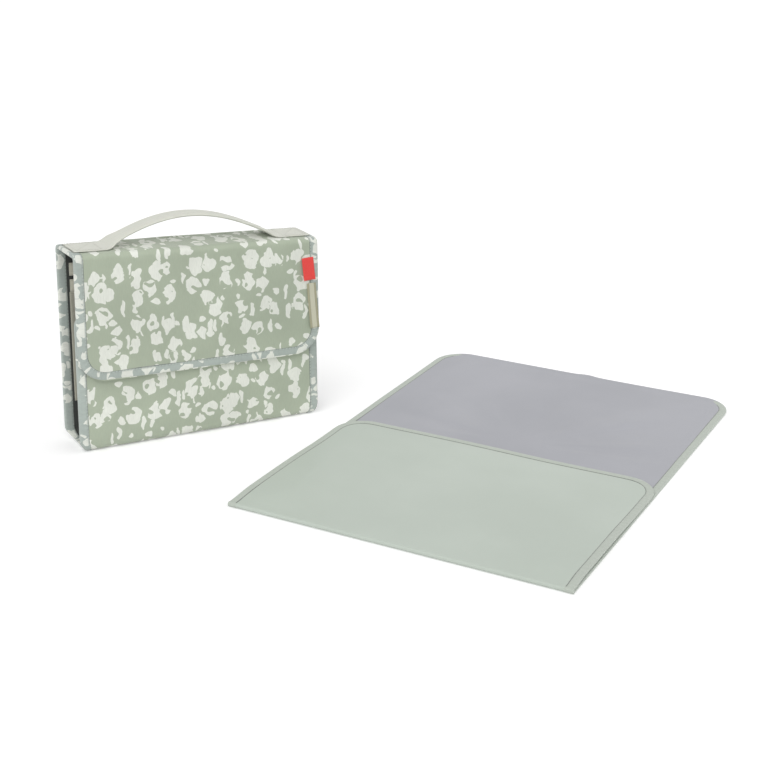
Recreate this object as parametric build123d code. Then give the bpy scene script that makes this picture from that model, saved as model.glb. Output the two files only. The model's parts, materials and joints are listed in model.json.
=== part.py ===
from build123d import *
import math
import os

# A baby changing set: a standing fold-over pouch and the fold-up mat that it carries.
# Millimetres. The pouch is drawn with X across its width, -Y to its front, +Z up.

# ---- pouch, overall
pouch_width = 270.0
pouch_height = 214.0
base_depth = 48.0        # outer face of the front panel to outer face of the back panel
front_height = 150.0
front_corner_r = 12.0
flap_length = 135.0
flap_corner_r = 30.0
flap_gap = 1.6           # closed flap to front panel
fold_gap = 0.3           # between two panels that fold against each other

# ---- pouch wall, from its outside in
shell_t = 0.7
foam_t = 2.4
lining_t = 0.5
board_t = 2.4            # stiffening board in the base
wall_wrap = 0.4          # binding cloth on each face of the wall
wall_band = 10.0         # binding width

# ---- mesh zip pocket inside the back panel
mesh_width = 246.0
mesh_low = 46.0
mesh_height = 130.0
mesh_t = 0.6
mesh_band = 8.0
mesh_wrap = 0.6
tape_height = 14.0
tape_lap = 6.0           # lower tape over the mesh's top edge
tape_t = 0.6
coil_height = 4.0
coil_t = 1.8
coil_length = 230.0
stop_length = 3.0
slider_size = (11.0, 1.9, 10.0)
slider_inset = 8.0       # closed slider to the coil's end
puller_size = (5.0, 1.3, 26.0)
part_gap = 0.3           # running gap between small moving parts

# ---- pockets inside the front panel
diaper_pocket_size = (246.0, 0.8, 106.0)
wipes_pocket_size = (130.0, 0.8, 78.0)
pocket_low = 12.0
hem_height = 10.0
hem_t = 0.6

# ---- closure magnets, sewn in the foam of flap and front panel
magnet_r = 6.0
magnet_t = 1.6
magnet_spread = 120.0
magnet_height = 100.0
magnet_gap = 0.1

# ---- webbing handle
strap_end_size = (46.0, 34.0, 1.8)
strap_inset = 4.0        # strap end to the panel's side
grip_width = 22.0
grip_t = 3.5
foot_lap = 3.0           # each foot of the grip over its strap end
grip_rise = 26.0
grip_swing = 30.0        # degrees each way

# ---- labels on the flap's right edge
red_label_size = (14.0, 0.8, 26.0)
red_label_drop = 22.0
red_label_inset = 6.0    # from the flap's edge
ribbon_label_size = (11.0, 0.8, 53.0)
ribbon_label_drop = 52.0
ribbon_label_inset = 3.5

# ---- mat: three panels, the near one folded over the middle one
mat_width = 370.0
mat_panel = 250.0
mat_corner_r = 35.0
mat_near_short = 4.0     # near panel stops short of the far fold
mat_face_t = 0.5
mat_wadding_t = 1.2
mat_backing_t = 0.4
mat_wrap = 0.25
mat_band = 9.0
mat_fold_mid = (75.0, -357.0)   # middle of the near fold, from the pouch's base centre
mat_turn = -53.0

# ---- worked out from the sizes above
wall_t = shell_t + foam_t + lining_t + 2 * wall_wrap
mat_t = mat_face_t + mat_wadding_t + mat_backing_t + 2 * mat_wrap
back_y = base_depth / 2
back_inner_y = back_y - wall_t
front_y = -base_depth / 2
front_inner_y = front_y + wall_t
flap_inner_y = front_y - flap_gap
flap_y = flap_inner_y - wall_t
top_rear_y = back_inner_y - fold_gap
top_front_y = flap_inner_y + fold_gap
top_mid_y = (top_rear_y + top_front_y) / 2
mat_low_axis = mat_t + fold_gap / 2
mat_high_axis = (3 * mat_t + 2 * fold_gap) / 2


def slab(x, y, z):
    """A box between the given (low, high) pairs."""
    lows, highs = zip(x, y, z)
    size = [high - low for low, high in zip(lows, highs)]
    return Pos(*lows) * Box(*size, align=(Align.MIN,) * 3)


def outline(width, length, corner_r, inset, free_end):
    """A panel's outline from its fold at y = 0, with two rounded corners on a free end."""
    end = length - inset if free_end else length
    shape = Pos(0, end / 2) * Rectangle(width - 2 * inset, end)
    if free_end:
        shape = fillet(shape.vertices().group_by(Axis.Y)[-1], corner_r - inset)
    return shape


def panel(name, width, length, corner_r, stack, wrap, band, free_end):
    """Layers in a binding, outer face on the XY plane. stack is (suffix, thickness) from there up."""
    core = outline(width, length, corner_r, wrap, free_end)
    pieces = {}
    level = wrap
    for suffix, thickness in stack:
        pieces[f"{name}_{suffix}"] = Pos(0, 0, level) * extrude(core, thickness)
        level += thickness
    rim = outline(width, length, corner_r, 0, free_end)
    hole = outline(width, length, max(corner_r, band + 1), band, free_end)
    ring = extrude(rim - hole, level + wrap) - Pos(0, 0, wrap) * extrude(core, level - wrap)
    if free_end:
        pieces[f"{name}_binding"] = ring
    else:
        low, high = ring.solids().sort_by(Axis.X)
        pieces[f"{name}_binding_a"] = low
        pieces[f"{name}_binding_b"] = high
    return pieces


def placed(pieces, location):
    return {name: location * piece for name, piece in pieces.items()}


def renamed(pieces, old, new):
    return {name.replace(old, new): piece for name, piece in pieces.items()}


def with_magnets(pieces, foam, magnets):
    """Two magnet discs in round pockets in the middle of a foam layer."""
    box = pieces[foam].bounding_box()
    middle = (box.min.Y + box.max.Y) / 2
    discs, pockets = [], []
    for side in (-1, 1):
        seat = Pos(side * magnet_spread / 2, middle, magnet_height) * Rot(90, 0, 0)
        discs.append(seat * Cylinder(magnet_r, magnet_t))
        pockets.append(seat * Cylinder(magnet_r + magnet_gap, magnet_t))
    pieces[foam] = pieces[foam] - pockets
    pieces[magnets] = Compound(discs)
    return pieces


def pouch_panels():
    wall = [("shell", shell_t), ("foam", foam_t), ("lining", lining_t)]
    base = [("shell", shell_t), ("board", board_t), ("lining", lining_t)]
    made = {}

    def add(name, length, corner_r, stack, free_end, plane):
        flat = panel(name, pouch_width, length, corner_r, stack, wall_wrap, wall_band, free_end)
        made.update(placed(flat, plane.location))

    right, left = (1, 0, 0), (-1, 0, 0)
    add("back", pouch_height, 0, wall, False, Plane((0, back_y, 0), right, (0, -1, 0)))
    base_front = front_inner_y + fold_gap
    add("bottom", back_inner_y - base_front, 0, base, False, Plane((0, base_front, 0), right, (0, 0, 1)))
    add("top", top_rear_y - top_front_y, 0, wall, False,
        Plane((0, top_rear_y, pouch_height), right, (0, 0, -1)))
    add("flap", flap_length, flap_corner_r, wall, True,
        Plane((0, flap_y, pouch_height), right, (0, 1, 0)))
    add("front", front_height, front_corner_r, wall, True, Plane((0, front_y, 0), left, (0, 1, 0)))
    made = renamed(renamed(made, "binding_a", "binding_left"), "binding_b", "binding_right")
    made = with_magnets(made, "flap_foam", "flap_magnets")
    return with_magnets(made, "front_foam", "front_magnets")


def mesh_pocket():
    """A mesh pocket flat on the back lining, with a zip above it."""
    face = back_inner_y
    mesh_top = mesh_low + mesh_height
    half = mesh_width / 2
    mesh = slab((-half, half), (face - mesh_t, face), (mesh_low, mesh_top))
    outer = slab((-half - mesh_wrap, half + mesh_wrap), (face - mesh_t - mesh_wrap, face),
                 (mesh_low - mesh_wrap, mesh_top - tape_lap))
    window = slab((-half + mesh_band, half - mesh_band), (face - mesh_t - mesh_wrap, face),
                  (mesh_low + mesh_band, mesh_top))
    tape_front = face - mesh_t - tape_t
    coil_low = mesh_top - tape_lap + tape_height
    coil_high = coil_low + coil_height
    coil_half = coil_length / 2
    coil_y = (tape_front + tape_t - coil_t, tape_front + tape_t)
    stops = [slab((x, x + stop_length), coil_y, (coil_low, coil_high))
             for x in (-coil_half - stop_length, coil_half)]
    return {
        "mesh_pocket": mesh,
        "mesh_pocket_binding": outer - window - mesh,
        "zip_tape_lower": slab((-half, half), (tape_front, face - mesh_t),
                               (coil_low - tape_height, coil_low)),
        "zip_tape_upper": slab((-half, half), (tape_front, face), (coil_high, coil_high + tape_height)),
        "zip_coil": slab((-coil_half, coil_half), coil_y, (coil_low, coil_high)),
        "zip_stops": Compound(stops),
    }


def zip_slider_and_puller():
    """The slider's front plate with its bridge, and the puller that hangs from the bridge."""
    length, depth, height = slider_size
    tape_front = back_inner_y - mesh_t - tape_t
    plate_back = tape_front + tape_t - coil_t - part_gap
    middle_z = mesh_low + mesh_height - tape_lap + tape_height + coil_height / 2
    x = -coil_length / 2 + slider_inset + length / 2
    plate = Pos(x, plate_back - depth / 2, middle_z) * Box(length, depth, height)
    plate = chamfer(plate.edges().filter_by(Axis.Y), height / 5)
    puller_width, puller_t, puller_length = puller_size
    puller_y = plate_back - depth - part_gap - puller_t / 2
    puller = slab((x - puller_width / 2, x + puller_width / 2),
                  (puller_y - puller_t / 2, puller_y + puller_t / 2),
                  (middle_z - puller_length, middle_z))
    bottom_edges = puller.edges().filter_by(Axis.Y).group_by(Axis.Z)[0]
    puller = fillet(bottom_edges, puller_width / 2.5)
    return {"zip_slider": plate, "zip_puller": puller}, (x, puller_y, middle_z)


def front_pockets():
    """Two flat pockets, one over the other, on the front panel's lining, each with a top hem."""
    made = {}
    face = front_inner_y
    for name, size in (("diaper_pocket", diaper_pocket_size), ("wipes_pocket", wipes_pocket_size)):
        width, thickness, height = size
        top = pocket_low + height
        sides = (-width / 2, width / 2)
        made[name] = slab(sides, (face, face + thickness), (pocket_low, top))
        face += thickness
        made[f"{name}_hem"] = slab(sides, (face, face + hem_t), (top - hem_height, top))
    return made


def handle():
    """Flat strap ends sewn on the top panel, and the folded grip that arches between them."""
    length, width, thickness = strap_end_size
    top = pouch_height + thickness
    made = {}
    outer = pouch_width / 2 - strap_inset
    across = (top_mid_y - width / 2, top_mid_y + width / 2)
    for name, along in (("left", (-outer, length - outer)), ("right", (outer - length, outer))):
        made[f"handle_end_{name}"] = slab(along, across, (pouch_height, top))
    seat = top + part_gap
    half = outer - length + foot_lap
    inner_arc = ThreePointArc((-half, seat), (0, seat + grip_rise), (half, seat))
    outer_arc = ThreePointArc((half + grip_t, seat), (0, seat + grip_rise + grip_t), (-half - grip_t, seat))
    edges = [inner_arc, Line(inner_arc @ 1, outer_arc @ 0), outer_arc, Line(outer_arc @ 1, inner_arc @ 0)]
    profile = Plane.XZ * make_face(edges)
    arch = Pos(0, top_mid_y + grip_width / 2, 0) * extrude(profile, grip_width)
    # The feet narrow to the swing axis, so that a leaning grip lies down on the strap ends.
    reach = grip_width
    climb = reach * math.tan(math.radians(grip_swing))
    room = Polyline((0, seat), (reach, seat + climb), (reach, seat + 3 * grip_rise),
                    (-reach, seat + 3 * grip_rise), (-reach, seat + climb), close=True)
    keep = Pos(-pouch_width, top_mid_y, 0) * extrude(Plane.YZ * make_face(room), 2 * pouch_width)
    made["handle_grip"] = arch & keep
    return made, (0, top_mid_y, seat)


def labels():
    """Two folded fabric labels on the flap's right edge."""
    made = {}
    sewn = (("red_label", red_label_size, red_label_drop, red_label_inset),
            ("ribbon_label", ribbon_label_size, ribbon_label_drop, ribbon_label_inset))
    for name, size, drop, inset in sewn:
        width, thickness, height = size
        edge = pouch_width / 2 - inset
        top = pouch_height - drop
        made[name] = slab((edge - width, edge), (flap_y - thickness, flap_y), (top - height, top))
    return made


def mat():
    """The mat in its own frame: near fold along X at y = 0, the far panel towards +Y."""
    up = [("face", mat_face_t), ("wadding", mat_wadding_t), ("backing", mat_backing_t)]
    over = up[::-1]
    clear = fold_gap / 2
    near_length = mat_panel - mat_near_short - clear
    rows = (("mat_mid", mat_panel - fold_gap, up, False, clear, 0.0),
            ("mat_far", mat_panel - clear, up, True, mat_panel + clear, 0.0),
            ("mat_near", near_length, over, True, clear, mat_t + fold_gap))
    made = {}
    for name, length, stack, free_end, start, level in rows:
        flat = panel(name, mat_width, length, mat_corner_r, stack, mat_wrap, mat_band, free_end)
        made.update(placed(flat, Pos(0, start, level)))
    return renamed(renamed(made, "binding_a", "binding_left"), "binding_b", "binding_right")


pieces = pouch_panels()
pieces.update(mesh_pocket())
zip_parts, puller_pivot = zip_slider_and_puller()
pieces.update(zip_parts)
pieces.update(front_pockets())
handle_parts, grip_pivot = handle()
pieces.update(handle_parts)
pieces.update(labels())
mat_place = Pos(*mat_fold_mid, 0) * Rot(0, 0, mat_turn)
pieces.update(placed(mat(), mat_place))

# Every pivot is a point on its fold line, still in the pouch's frame.
pivots = {
    "top_fold": (0, back_y, pouch_height),
    "flap_fold": (0, flap_inner_y, pouch_height),
    "front_fold": (0, front_y, 0),
    "grip": grip_pivot,
    "puller": puller_pivot,
    "near_fold": tuple((mat_place * Pos(0, 0, mat_low_axis)).position),
    "far_fold": tuple((mat_place * Pos(0, mat_panel, mat_high_axis)).position),
}

# The origin is the middle of the whole set's footprint, on the surface it stands on.
boxes = [piece.bounding_box() for piece in pieces.values()]
lowest = [min(values) for values in zip(*(tuple(box.min) for box in boxes))]
highest = [max(values) for values in zip(*(tuple(box.max) for box in boxes))]
shift = (-(lowest[0] + highest[0]) / 2, -(lowest[1] + highest[1]) / 2, -lowest[2])

os.makedirs("parts", exist_ok=True)
for name, piece in pieces.items():
    solids = [Pos(*shift) * solid for solid in piece.solids()]
    export_step(solids[0] if len(solids) == 1 else Compound(solids), f"parts/{name}.step")
for name, point in pivots.items():
    print(name, [round(value + move, 3) for value, move in zip(point, shift)])
print("shift", [round(value, 3) for value in shift], "pieces", len(pieces))
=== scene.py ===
import json
import math

import bpy
import mathutils
import numpy as np
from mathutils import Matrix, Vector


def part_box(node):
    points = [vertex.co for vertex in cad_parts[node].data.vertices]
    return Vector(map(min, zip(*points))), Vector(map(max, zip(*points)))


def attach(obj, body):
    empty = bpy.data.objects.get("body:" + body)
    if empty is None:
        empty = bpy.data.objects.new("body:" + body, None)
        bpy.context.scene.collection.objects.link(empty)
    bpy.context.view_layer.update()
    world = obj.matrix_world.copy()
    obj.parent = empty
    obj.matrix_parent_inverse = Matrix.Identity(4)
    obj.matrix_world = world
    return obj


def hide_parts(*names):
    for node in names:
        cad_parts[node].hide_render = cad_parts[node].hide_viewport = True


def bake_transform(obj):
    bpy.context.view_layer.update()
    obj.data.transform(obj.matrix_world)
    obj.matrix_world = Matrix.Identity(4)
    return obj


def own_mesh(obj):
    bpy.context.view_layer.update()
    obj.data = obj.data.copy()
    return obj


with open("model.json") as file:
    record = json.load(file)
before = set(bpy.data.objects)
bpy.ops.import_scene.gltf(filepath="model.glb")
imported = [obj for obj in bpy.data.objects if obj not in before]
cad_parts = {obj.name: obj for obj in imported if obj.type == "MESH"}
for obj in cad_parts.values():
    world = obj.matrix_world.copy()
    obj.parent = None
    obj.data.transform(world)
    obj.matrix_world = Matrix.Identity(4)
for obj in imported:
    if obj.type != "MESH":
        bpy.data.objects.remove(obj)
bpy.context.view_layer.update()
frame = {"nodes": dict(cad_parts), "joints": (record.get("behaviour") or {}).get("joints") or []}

MM = 0.001


# ---------------------------------------------------------------- sizes read from the frame


def node_span(node, direction):
    """Lowest and highest reach of a CAD node along a unit direction."""
    mesh = frame["nodes"][node].data
    places = np.empty(len(mesh.vertices) * 3)
    mesh.vertices.foreach_get("co", places)
    reach = places.reshape(-1, 3) @ np.array(direction, float)
    return reach.min(), reach.max()


def joint(name):
    return next(j for j in frame["joints"] if j["name"] == name)


X, Y, Z = (1, 0, 0), (0, 1, 0), (0, 0, 1)
pouch_left, pouch_right = node_span("flap_binding", X)
pouch_mid = (pouch_left + pouch_right) / 2
pouch_width = pouch_right - pouch_left
flap_y = node_span("flap_shell", Y)[0]
front_y = node_span("front_shell", Y)[0]
back_y = node_span("back_shell", Y)[1]
lid_z = node_span("top_shell", Z)[1]
base_z = node_span("bottom_shell", Z)[0]
flap_low = node_span("flap_binding", Z)[0]
front_high = node_span("front_binding", Z)[1]
wall = back_y - node_span("back_lining", Y)[0]
proud = node_span("back_binding_left", Y)[1] - back_y
tape = node_span("back_binding_left", X)[1] - node_span("back_binding_left", X)[0]

flap_corner = 30 * MM
front_corner = 12 * MM
fold_round = 5.5 * MM   # where the cloth turns at the top
heel_round = 12 * MM    # where it turns from the back to the base
toe_round = 8 * MM      # where it turns from the base to the front
lid_seam = 9 * MM       # lid cloth that belongs to the back piece, past the fold
toe_seam = 10 * MM      # base cloth that belongs to the front piece
shoulder = 9 * MM       # flat border of a padded face, before it swells
seam_inward = tape - 1.4 * MM       # the tapes' line of thread, from their outer edge


# ---------------------------------------------------------------- skins: cloth laid along a bent path


class Skin:
    """Maps (across, along, height above the outer face) to a place in the frame.

    The path is a list of (forward, up) points with a rounding radius at each; origin, side and
    forward place it, so one class serves the pouch's walls and the turned mat.
    """

    def __init__(self, origin, side, forward, points, rounds, turn=1):
        self.settle = None
        self.origin = np.array(origin, float)
        self.side = np.array(side, float)
        self.forward = np.array(forward, float)
        line = [np.array(points[0], float)]
        for before, here, after, r in zip(points, points[1:], points[2:], rounds[1:-1]):
            here, before, after = (np.array(p, float) for p in (here, before, after))
            back = (before - here) / np.linalg.norm(before - here)
            on = (after - here) / np.linalg.norm(after - here)
            half = math.acos(max(-1, min(1, back @ on))) / 2
            reach = r / math.tan(half)
            centre = here + (back + on) / np.linalg.norm(back + on) * r / math.sin(half)
            a = here + back * reach - centre
            b = here + on * reach - centre
            swing = math.pi - 2 * half
            for t in np.linspace(0, 1, 17):
                spot = a * math.sin((1 - t) * swing) + b * math.sin(t * swing)
                line.append(centre + spot / math.sin(swing))
        line.append(np.array(points[-1], float))
        self._set_line(np.array(line), turn)

    def _set_line(self, line, turn):
        steps = np.linalg.norm(np.diff(line, axis=0), axis=1)
        keep = np.concatenate([[True], steps > 1e-7])
        line = line[keep]
        steps = np.linalg.norm(np.diff(line, axis=0), axis=1)
        self.reach = np.concatenate([[0], np.cumsum(steps)])
        tangent = np.gradient(line, self.reach, axis=0)
        tangent /= np.linalg.norm(tangent, axis=1)[:, None]
        self.line, self.tangent = line, tangent
        self.normal = turn * np.stack([-tangent[:, 1], tangent[:, 0]], 1)
        self.length = self.reach[-1]

    def at(self, across, along, height=0.0):
        given = [np.asarray(value, float) for value in (across, along, height)]
        across, along, height = np.broadcast_arrays(*given)
        beyond = along - np.clip(along, 0, self.length)
        spot = [np.interp(along, self.reach, self.line[:, k]) for k in (0, 1)]
        nrm = [np.interp(along, self.reach, self.normal[:, k]) for k in (0, 1)]
        tan = [np.interp(along, self.reach, self.tangent[:, k]) for k in (0, 1)]
        size = np.hypot(*nrm)
        fwd, up = (s + n / size * height + t * beyond for s, n, t in zip(spot, nrm, tan))
        place = self.origin + across[..., None] * self.side + fwd[..., None] * self.forward
        place[..., 2] += up
        return self.settle(place) if self.settle else place


def edge_stops(width, start, length, corner, step):
    """Rows of a panel with a rounded free end: (along, half width) pairs."""
    count = max(2, int((length - corner - start) / step) + 1)
    rows = [(v, width / 2) for v in np.linspace(start, length - corner, count)]
    if corner:
        turns = max(4, int(corner * 1.6 / step))
        for k in range(1, turns + 1):
            a = math.pi / 2 * k / turns
            rows.append((length - corner + corner * math.sin(a),
                         width / 2 - corner + corner * math.cos(a)))
    return rows


def outline(width, start, length, corner, step):
    """Stops round a panel: up its left side, over the free end and down its right side.

    Each is (across, along, inward across, inward along).
    """
    stops = []
    count = max(2, int((length - corner - start) / step) + 1)
    for v in np.linspace(start, length - corner, count):
        stops.append((-width / 2, v, 1, 0))
    turns = max(6, int(corner * 1.6 / step))
    for k in range(1, turns + 1):
        a = math.pi / 2 * k / turns
        stops.append((-width / 2 + corner - corner * math.cos(a),
                      length - corner + corner * math.sin(a), math.cos(a), -math.sin(a)))
    count = max(2, int((width - 2 * corner) / step))
    for u in np.linspace(-width / 2 + corner, 0, count // 2 + 1)[1:]:
        stops.append((u, length, 0, -1))
    mirror = [(-u, v, -du, dv) for u, v, du, dv in stops[:-1]]
    return stops + mirror[::-1]


def side_line(width, start, length, step, side):
    """The same for one straight side of a panel with no free end."""
    count = max(2, int((length - start) / step) + 1)
    return [(side * width / 2, v, -side, 0) for v in np.linspace(start, length, count)]


# ---------------------------------------------------------------- mesh helpers


def new_piece(name, places, faces, maps=None, face_slots=None, materials=(), smooth=True):
    """maps is {uv layer: one (u, v) per vertex}."""
    mesh = bpy.data.meshes.new(name)
    mesh.from_pydata([tuple(p) for p in places], [], faces)
    mesh.validate()
    corners = np.empty(len(mesh.loops), int)
    mesh.loops.foreach_get("vertex_index", corners)
    for layer, values in (maps or {}).items():
        uv = mesh.uv_layers.new(name=layer)
        uv.data.foreach_set("uv", np.asarray(values, float)[corners].ravel())
    for material in materials:
        mesh.materials.append(material)
    if face_slots is not None and len(face_slots) == len(mesh.polygons):
        mesh.polygons.foreach_set("material_index", face_slots)
    if smooth:
        mesh.polygons.foreach_set("use_smooth", [True] * len(mesh.polygons))
    piece = bpy.data.objects.new(name, mesh)
    bpy.context.scene.collection.objects.link(piece)
    return piece


def rounder(piece, levels=1):
    subdivide = piece.modifiers.new("rounder", "SUBSURF")
    subdivide.levels = subdivide.render_levels = levels
    return piece


def level(u, v):
    """No lift anywhere."""
    return np.zeros_like(u + v)


def grid_rim(rows, columns):
    """Indices round the rim of a grid of rows x columns, starting along its first row."""
    rim = list(range(columns)) + [i * columns + columns - 1 for i in range(1, rows)]
    rim += [(rows - 1) * columns + j for j in range(columns - 2, -1, -1)]
    return rim + [i * columns for i in range(rows - 2, 0, -1)]


def rim_edges(mesh, rim, count):
    """For each edge, whether it lies on the rim of either face; the second face starts at count."""
    held = set(rim) | {k + count for k in rim}
    ends = np.empty(len(mesh.edges) * 2, int)
    mesh.edges.foreach_get("vertices", ends)
    return [a in held and b in held for a, b in ends.reshape(-1, 2)]


def mark_edges(mesh, layer, kind, values):
    mesh.attributes.new(layer, kind, "EDGE").data.foreach_set("value", values)


def tube_faces(base, rings, sides, closed=False):
    """Faces round a tube of rings; closed joins the last ring to the first."""
    faces = []
    for i in range(rings if closed else rings - 1):
        this, following = base + i * sides, base + (i + 1) % rings * sides
        for k in range(sides):
            m = (k + 1) % sides
            faces.append((this + k, this + m, following + m, following + k))
    return faces


def tube_ends(base, rings, sides):
    last = base + (rings - 1) * sides
    return [tuple(range(base, base + sides))[::-1], tuple(range(last, last + sides))]


def two_faced(rows, columns):
    """Faces, material slots and rim of a thin closed grid: outer face, inner face, and the rim."""
    count = rows * columns
    faces, slots = [], []
    for i in range(rows - 1):
        for j in range(columns - 1):
            a, b = i * columns + j, i * columns + j + 1
            c, d = b + columns, a + columns
            faces += [(a, b, c, d), (d + count, c + count, b + count, a + count)]
            slots += [0, 1]
    rim = grid_rim(rows, columns)
    for a, b in zip(rim, rim[1:] + rim[:1]):
        faces.append((b, a, a + count, b + count))
        slots.append(0)
    return faces, slots, rim


def quilt(name, skin, rows, columns, thick, outer, inner, materials, shift=(0, 0), flip=1):
    """A closed padded panel: an outer face, an inner face thick below it, and the rim between them.

    outer and inner give the height that each face stands proud at (across, along).
    """
    share = np.linspace(-1, 1, columns)
    v = np.array([row[0] for row in rows])[:, None] + 0 * share
    u = np.array([row[1] for row in rows])[:, None] * share
    top = skin.at(u, v, outer(u, v))
    low = skin.at(u, v, -thick - inner(u, v))
    count = len(rows) * columns
    places = np.concatenate([top.reshape(-1, 3), low.reshape(-1, 3)])
    flat = np.stack([u.ravel() + shift[0], flip * v.ravel() + shift[1]], 1)
    faces, slots, rim = two_faced(len(rows), columns)
    piece = new_piece(name, places, faces, {"cloth": np.concatenate([flat, flat])}, slots, materials)
    on_rim = rim_edges(piece.data, rim, count)
    mark_edges(piece.data, "sharp_edge", "BOOLEAN", on_rim)
    mark_edges(piece.data, "crease_edge", "FLOAT", np.array(on_rim, float))
    return piece, (np.tile(u.ravel(), 2), np.tile(v.ravel(), 2))


def taped_edge(name, skin, stops, section, material, height=level, shift=(0, 0)):
    """A folded tape along an outline. section is a loop of (inward, height) round its cut end."""
    loop = np.array(section, float)
    s = np.array(stops, float)
    steps = np.hypot(np.diff(s[:, 0]), np.diff(s[:, 1]))
    run = np.concatenate([[0], np.cumsum(steps)])
    u = s[:, 0:1] + s[:, 2:3] * loop[:, 0]
    v = s[:, 1:2] + s[:, 3:4] * loop[:, 0]
    places = skin.at(u, v, loop[:, 1] + height(u, v))
    n, m = places.shape[:2]
    around = np.concatenate([[0], np.cumsum(np.hypot(*np.diff(loop, axis=0).T))])
    faces = []
    for i in range(n - 1):
        for j in range(m):
            k = (j + 1) % m
            faces.append((i * m + j, (i + 1) * m + j, (i + 1) * m + k, i * m + k))
    faces.append(tuple(range(m)))
    faces.append(tuple(range((n - 1) * m + m - 1, (n - 1) * m - 1, -1)))
    cloth = np.stack([np.repeat(run, m) + shift[0], np.tile(around, n) + shift[1]], 1)
    share = np.stack([np.repeat(run, m), np.tile(loop[:, 0], n)], 1)
    maps = {"cloth": cloth, "tape": share}
    return new_piece(name, places.reshape(-1, 3), faces, maps, None, [material])


def folded_section(width, thick, stand):
    """The cut end of a tape folded over a wall: flat legs, a round fold, seam edges that dip."""
    leg = [(width, -0.25 * stand), (width - 0.5 * MM, 0.8 * stand), (width * 0.72, 1.25 * stand),
           (width * 0.4, 1.3 * stand), (width * 0.16, 1.0 * stand)]
    bend, bend_deep, r = [], 0.8 * MM, thick / 2 + stand * 0.6
    for k in range(1, 6):
        a = math.pi * k / 6
        bend.append((bend_deep - bend_deep * math.sin(a), -thick / 2 + r * math.cos(a)))
    under = [(d, -thick - h) for d, h in leg[::-1]]
    return leg + bend + under


def stitches(name, skin, stops, inward, height_at, material, pitch=3.6 * MM, length=2.5 * MM,
             r=0.26 * MM):
    """A row of short thread loops, inward from an outline."""
    s = np.array(stops, float)
    line_u, line_v = s[:, 0] + s[:, 2] * inward, s[:, 1] + s[:, 3] * inward
    run = np.concatenate([[0], np.cumsum(np.hypot(np.diff(line_u), np.diff(line_v)))])
    # along the stitch, size, how far it dips into the cloth
    rings = [(-0.5, 0.35, -0.9), (-0.3, 0.95, 0.0), (0.3, 0.95, 0.0), (0.5, 0.35, -0.9)]
    sides = 5
    places, faces = [], []
    for mid in np.arange(pitch, run[-1] - pitch / 2, pitch):
        base = len(places)
        for t, size, sink in rings:
            d = mid + t * length
            u, v = np.interp(d, run, line_u), np.interp(d, run, line_v)
            u2, v2 = np.interp(d + 1e-4, run, line_u), np.interp(d + 1e-4, run, line_v)
            across = np.array([-(v2 - v), u2 - u]) / max(1e-9, math.hypot(u2 - u, v2 - v))
            for k in range(sides):
                a = 2 * math.pi * k / sides
                q = r * size * math.cos(a)
                h = height_at + r * (size * math.sin(a) + sink)
                places.append((u + across[0] * q, v + across[1] * q, h))
        faces += tube_faces(base, len(rings), sides) + tube_ends(base, len(rings), sides)
    flat = np.array(places)
    spots = skin.at(flat[:, 0], flat[:, 1], flat[:, 2])
    return new_piece(name, spots, faces, {"cloth": flat[:, :2]}, None, [material])


# ---------------------------------------------------------------- node groups shared by the cloths


class Graph:
    """Adds nodes to a tree: inputs are plain values, or sockets to link from."""

    def __init__(self, tree):
        self.tree = tree

    def add(self, kind, inputs=None, **settings):
        node = self.tree.nodes.new(kind)
        for name, value in settings.items():
            setattr(node, name, value)
        for name, value in (inputs or {}).items():
            if isinstance(value, bpy.types.NodeSocket):
                self.tree.links.new(value, node.inputs[name])
            else:
                node.inputs[name].default_value = value
        return node

    def calc(self, operation, a, b=0.0, clamp=False):
        node = self.add("ShaderNodeMath", {0: a, 1: b}, operation=operation, use_clamp=clamp)
        return node.outputs[0]

    def ramp(self, value, low, high, to_low=0.0, to_high=1.0):
        node = self.add("ShaderNodeMapRange", {"Value": value, "From Min": low, "From Max": high,
                                               "To Min": to_low, "To Max": to_high},
                        interpolation_type="SMOOTHSTEP")
        return node.outputs["Result"]

    def vector(self, operation, a, b):
        node = self.add("ShaderNodeVectorMath", {0: a, 1: b}, operation=operation)
        return node.outputs[0]

    def stretch(self, vector, scale):
        node = self.add("ShaderNodeVectorMath", {0: vector, "Scale": scale}, operation="SCALE")
        return node.outputs[0]

    def parts(self, vector):
        return self.add("ShaderNodeSeparateXYZ", {0: vector}).outputs

    def wave(self, value, pitch):
        """Ribs across value, one every pitch: 0 in the grooves, 1 on the ridges."""
        return self.calc("ABSOLUTE", self.calc("SINE", self.calc("MULTIPLY", value, math.pi / pitch)))

    def mix(self, share, a, b, blend="MIX"):
        node = self.add("ShaderNodeMix", {0: share, 6: a, 7: b}, data_type="RGBA", blend_type=blend)
        return node.outputs[2]

    def move(self, vector, shift=(0, 0, 0), scale=(1, 1, 1), turn=0.0):
        node = self.add("ShaderNodeMapping", {"Vector": vector, "Location": shift, "Scale": scale,
                                              "Rotation": (0, 0, turn)})
        return node.outputs[0]

    def noise(self, vector, scale, detail=2.0, rough=0.5):
        node = self.add("ShaderNodeTexNoise", {"Vector": vector, "Scale": scale, "Detail": detail,
                                               "Roughness": rough})
        return node.outputs


def node_group(name, inputs, outputs, build):
    """inputs and outputs are {socket name: socket kind or (kind, default)}."""
    tree = bpy.data.node_groups.new(name, "ShaderNodeTree")
    for side, sockets in (("INPUT", inputs), ("OUTPUT", outputs)):
        for socket, kind in sockets.items():
            kind, default = kind if isinstance(kind, tuple) else (kind, None)
            made = tree.interface.new_socket(socket, in_out=side, socket_type=kind)
            if default is not None:
                made.default_value = default
    graph = Graph(tree)
    start = tree.nodes.new("NodeGroupInput")
    end = tree.nodes.new("NodeGroupOutput")
    for socket, value in build(graph, start.outputs).items():
        tree.links.new(value, end.inputs[socket])
    return tree


VECTOR, FLOAT = "NodeSocketVector", "NodeSocketFloat"


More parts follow.
